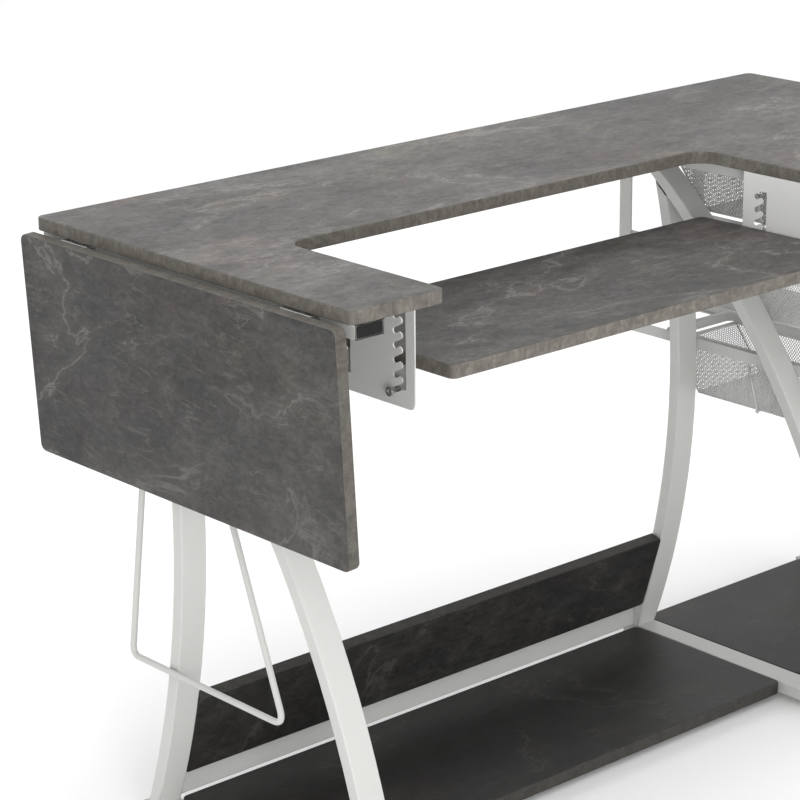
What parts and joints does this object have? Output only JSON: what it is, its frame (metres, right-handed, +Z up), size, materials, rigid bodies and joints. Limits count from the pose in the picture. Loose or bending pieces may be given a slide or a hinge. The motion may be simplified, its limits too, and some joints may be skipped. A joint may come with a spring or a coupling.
{
  "type": "craft table",
  "caption": "Craft table with a hanging drop leaf, a notch-hung platform in a front bay, curved tube legs, lower shelves and sliding mesh drawers.",
  "frame": {"origin": "centre of the footprint on the floor", "axes": "+X towards the drawer side, +Y towards the back, +Z up"},
  "size_m": [1.3442, 0.629, 0.762],
  "materials": {
    "laminate": "matt slate-patterned laminate",
    "frame_paint": "satin powder coat",
    "zinc": "zinc plated",
    "plastic": "matt black",
    "mesh_paint": "satin powder coat on fine mesh"
  },
  "bodies": {
    "table": {"top_board": "laminate", "hinge_bases": "zinc", "hinge_pins": "zinc", "side_rails": "frame_paint", "front_legs": "frame_paint", "rear_legs": "frame_paint", "floor_tubes": "frame_paint", "rail_plugs": "plastic", "floor_plugs": "plastic", "foot_pads": "plastic", "comb_bracket_left": "frame_paint", "comb_bracket_right": "frame_paint", "lower_back_board": "laminate", "lower_cross_tube": "frame_paint", "lower_shelf": "laminate", "side_shelf": "laminate", "shelf_clips": "zinc", "drawer_runners": "frame_paint", "runner_hangers": "frame_paint"},
    "leaf": {"drop_leaf": "laminate", "hinge_leaves": "zinc"},
    "stay": {"leaf_stay": "frame_paint"},
    "platform": {"platform_board": "laminate", "carrier_left": "frame_paint", "carrier_right": "frame_paint", "carrier_bolts": "zinc", "carrier_nuts": "zinc"},
    "drawer_top": {"drawer_top_rim": "frame_paint", "drawer_top_basket": "mesh_paint"},
    "drawer_mid": {"drawer_mid_rim": "frame_paint", "drawer_mid_basket": "mesh_paint"},
    "drawer_low": {"drawer_low_rim": "frame_paint", "drawer_low_basket": "mesh_paint"}
  },
  "joints": [
    {"name": "leaf_hinge", "type": "hinge", "parent": "table", "child": "leaf", "pos_m": [-0.65274, 0.016, 0.7428], "axis": [0, 1, 0], "range_deg": [0, 93.1]},
    {"name": "stay_swing", "type": "hinge", "parent": "table", "child": "stay", "pos_m": [-0.61994, 0.0735, 0.537], "axis": [0, 1, 0], "range_deg": [0, 126.4]},
    {"name": "platform_slide", "type": "slide", "parent": "table", "child": "platform", "axis": [0, -0.8829, 0.4695], "range_m": [0, 0.0165]},
    {"name": "drawer_top_slide", "type": "slide", "parent": "table", "child": "drawer_top", "axis": [0, -1, 0], "range_m": [0, 0.3]},
    {"name": "drawer_mid_slide", "type": "slide", "parent": "table", "child": "drawer_mid", "axis": [0, -1, 0], "range_m": [0, 0.3]},
    {"name": "drawer_low_slide", "type": "slide", "parent": "table", "child": "drawer_low", "axis": [0, -1, 0], "range_m": [0, 0.3]}
  ],
  "couplings": [
    {"joint": "stay_swing", "follows": "leaf_hinge", "ratio": 1.357}
  ]
}
